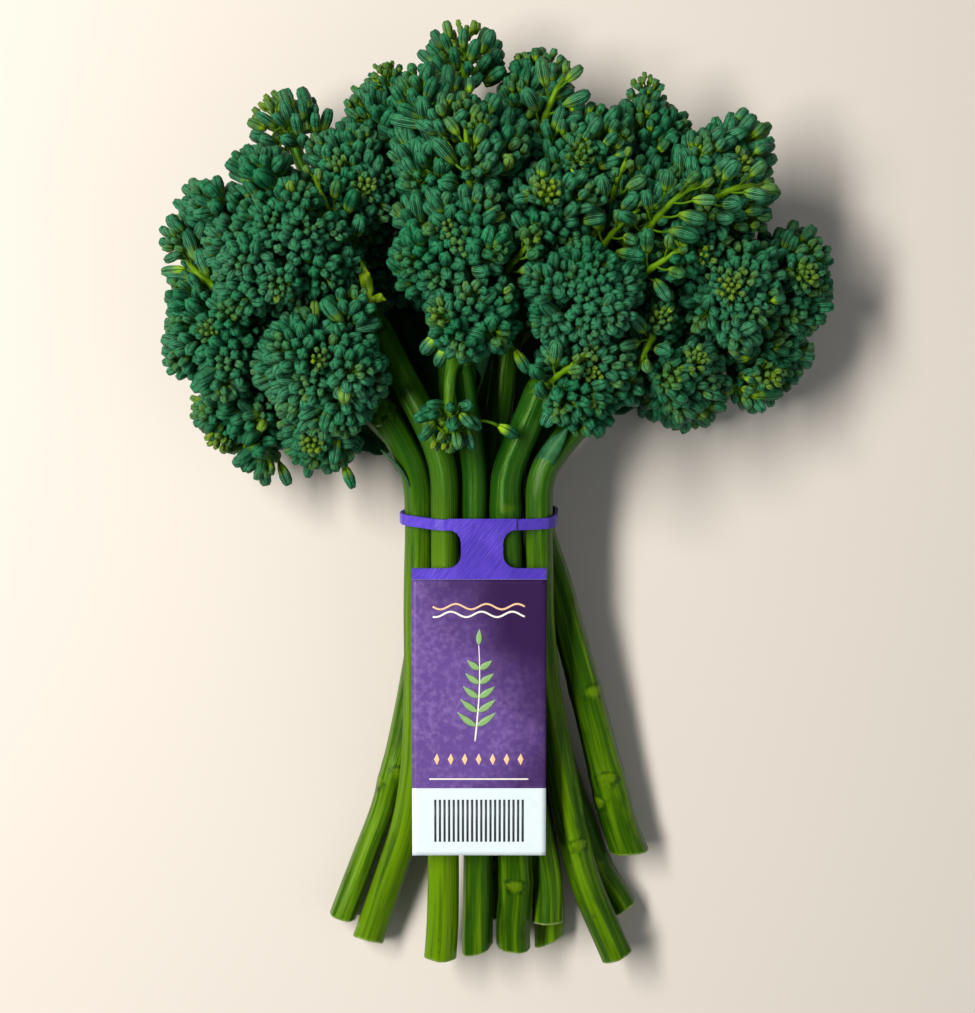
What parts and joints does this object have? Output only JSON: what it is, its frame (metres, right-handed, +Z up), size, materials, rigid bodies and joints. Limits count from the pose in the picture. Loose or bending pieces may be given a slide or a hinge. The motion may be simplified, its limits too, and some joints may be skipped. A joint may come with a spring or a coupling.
{
  "type": "broccolini bunch",
  "caption": "Bunch of broccolini lying down: slender cut stems that fan out to budded green heads, held by a plastic strap with a hanging tag.",
  "frame": {"origin": "middle of the bunch's footprint, on the surface it lies on", "axes": "+Y along the stems from the cut ends to the heads, +X across the bunch to the right as seen from above with the heads away from the viewer, +Z up from the surface"},
  "size_m": [0.1765, 0.2485, 0.0582],
  "materials": {
    "head": "matte blue-green buds",
    "stem": "waxy bright green",
    "tag": "satin violet film",
    "label": "satin printed film"
  },
  "bodies": {
    "root": {"head_01": "head", "head_02": "head", "head_03": "head", "head_04": "head", "head_05": "head", "head_06": "head", "head_07": "head", "head_08": "head", "head_09": "head", "head_10": "head", "head_11": "head", "stem_01": "stem", "stem_02": "stem", "stem_03": "stem", "stem_04": "stem", "stem_05": "stem", "stem_06": "stem", "stem_07": "stem", "stem_08": "stem", "stem_09": "stem", "stem_10": "stem", "stem_11": "stem", "tag": "tag", "label": "label"}
  },
  "joints": []
}
